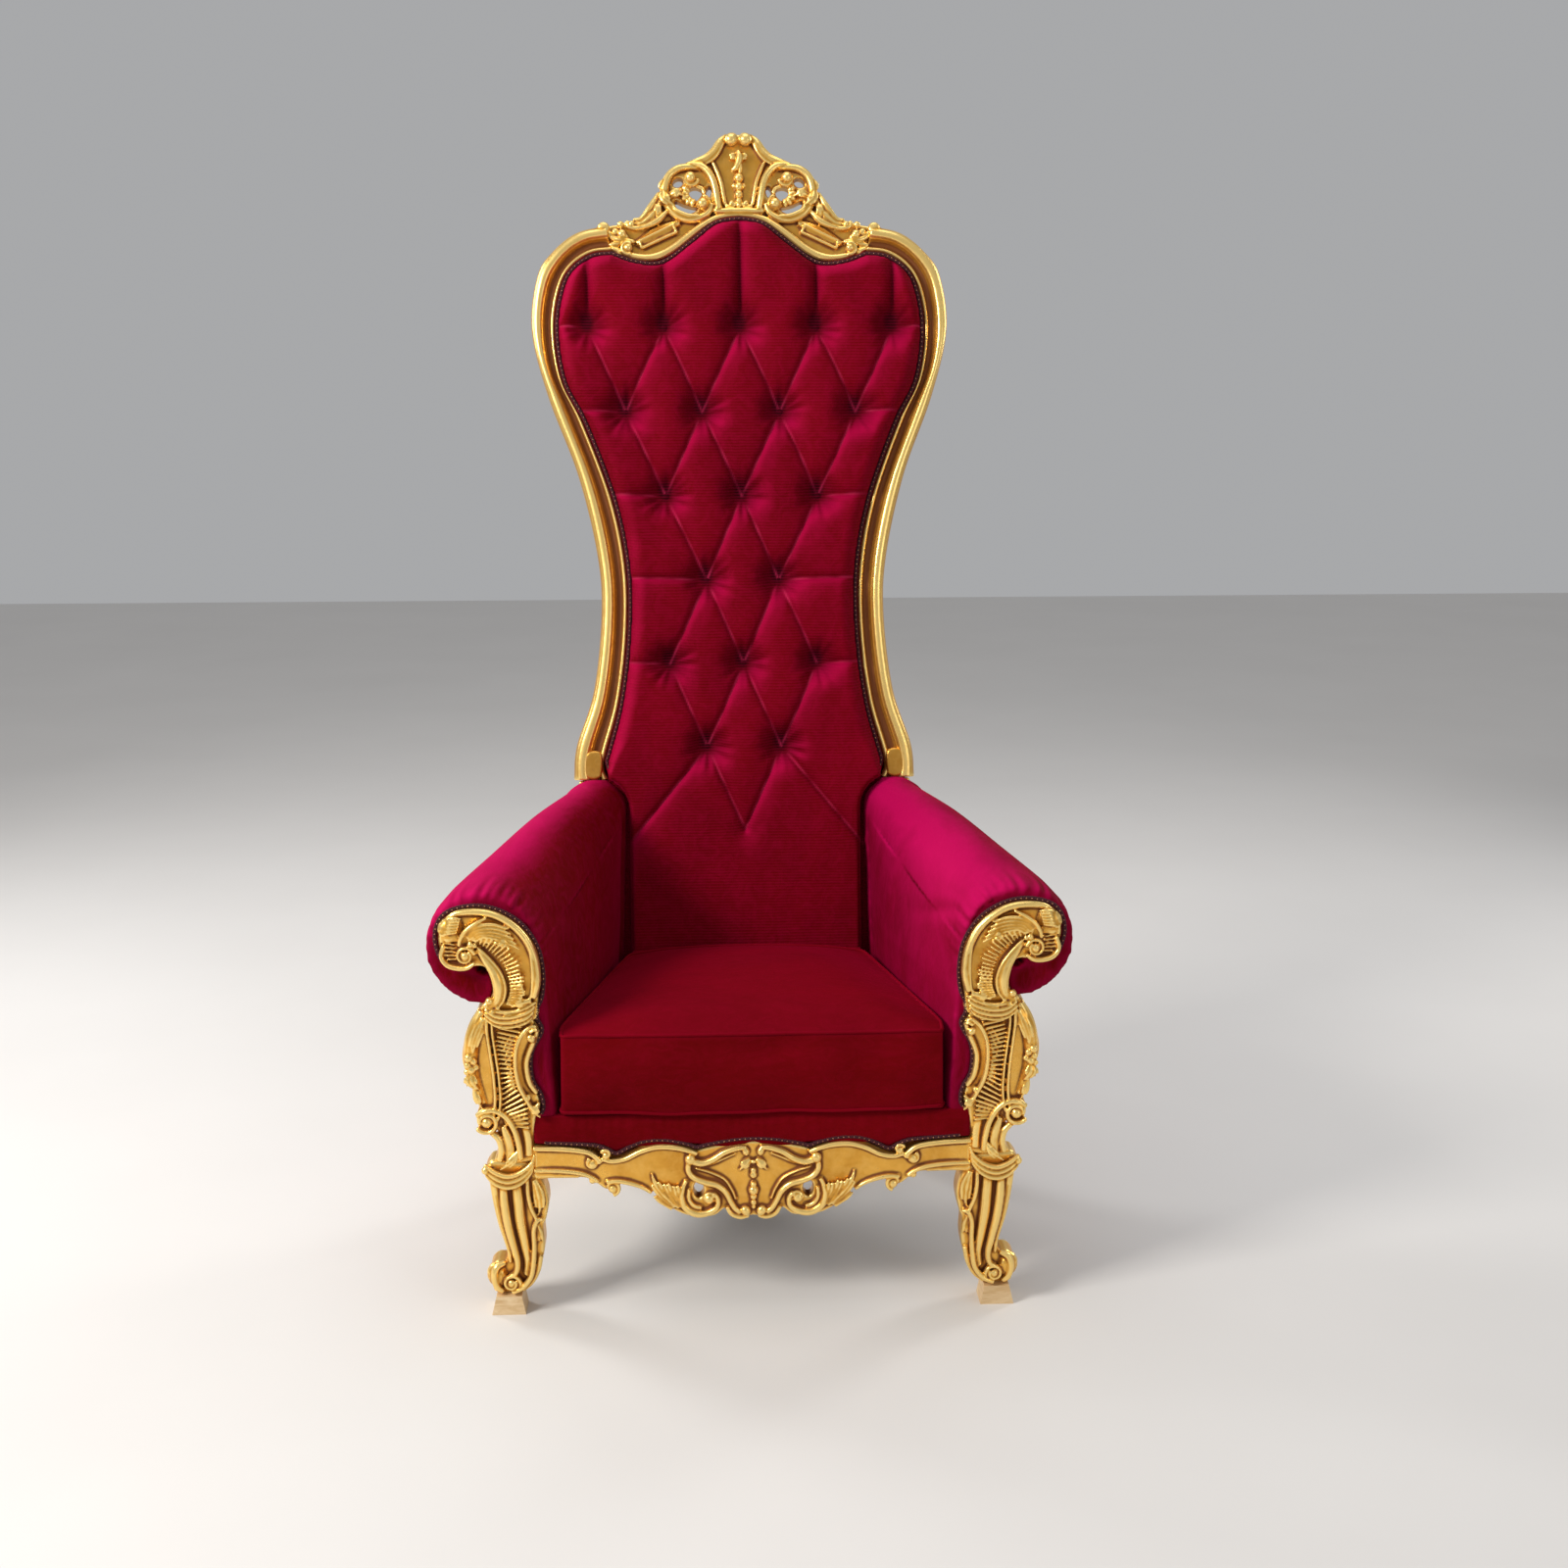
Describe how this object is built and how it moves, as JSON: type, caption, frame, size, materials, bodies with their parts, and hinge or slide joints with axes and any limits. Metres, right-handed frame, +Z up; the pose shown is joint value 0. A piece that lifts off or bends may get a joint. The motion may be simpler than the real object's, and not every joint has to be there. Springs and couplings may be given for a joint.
{
  "type": "high-back throne armchair",
  "caption": "Tall throne armchair with a carved gilded frame, tufted velvet back, rolled arms and a loose seat cushion.",
  "frame": {"origin": "on the floor, at the middle of the chair's bounding box in plan", "axes": "+Z up, the chair faces -Y, +X to the right seen from the front"},
  "size_m": [1.054, 0.788, 1.9446],
  "materials": {
    "gilt_wood": "antiqued gold leaf over red-brown glaze",
    "bare_wood": "thin gold wash on bare wood",
    "frame_wood": "unfinished beech",
    "velvet": "crimson pile velvet with a magenta sheen",
    "gimp_braid": "dark braided gimp with small studs",
    "foam": "open-cell upholstery foam",
    "jute": "woven jute webbing",
    "black_cambric": "thin black non-woven cloth",
    "steel": "plain steel"
  },
  "bodies": {
    "frame": {"back_buttons": "velvet", "back_gimp": "gimp_braid", "back_lower_rail": "frame_wood", "back_middle_rail": "frame_wood", "back_pad": "velvet", "back_seat_rail": "frame_wood", "back_webbing": "jute", "corner_blocks": "frame_wood", "corner_bolts": "steel", "crest_rail": "gilt_wood", "dust_cover": "black_cambric", "front_apron": "gilt_wood", "front_cross_rail": "frame_wood", "hanger_bolts": "steel", "left_arm_gimp": "gimp_braid", "left_arm_pad": "velvet", "left_arm_post": "gilt_wood", "left_arm_rail": "frame_wood", "left_arm_scroll": "gilt_wood", "left_back_leg": "gilt_wood", "left_back_stile": "gilt_wood", "left_foot_block": "bare_wood", "left_front_leg": "gilt_wood", "left_outside_arm": "velvet", "left_side_rail": "gilt_wood", "outside_back": "velvet", "post_dowels": "frame_wood", "right_arm_gimp": "gimp_braid", "right_arm_pad": "velvet", "right_arm_post": "gilt_wood", "right_arm_rail": "frame_wood", "right_arm_scroll": "gilt_wood", "right_back_leg": "gilt_wood", "right_back_stile": "gilt_wood", "right_foot_block": "bare_wood", "right_front_leg": "gilt_wood", "right_outside_arm": "velvet", "right_side_rail": "gilt_wood", "seat_deck": "velvet", "seat_front_band": "velvet", "seat_gimp": "gimp_braid", "seat_webbing": "jute", "stile_bosses": "gilt_wood"},
    "cushion": {"seat_cushion": "velvet", "cushion_foam": "foam"}
  },
  "joints": [
    {"name": "cushion_lift", "type": "slide", "parent": "frame", "child": "cushion", "axis": [0, 0, 1], "range_m": [0, 0.46]}
  ]
}
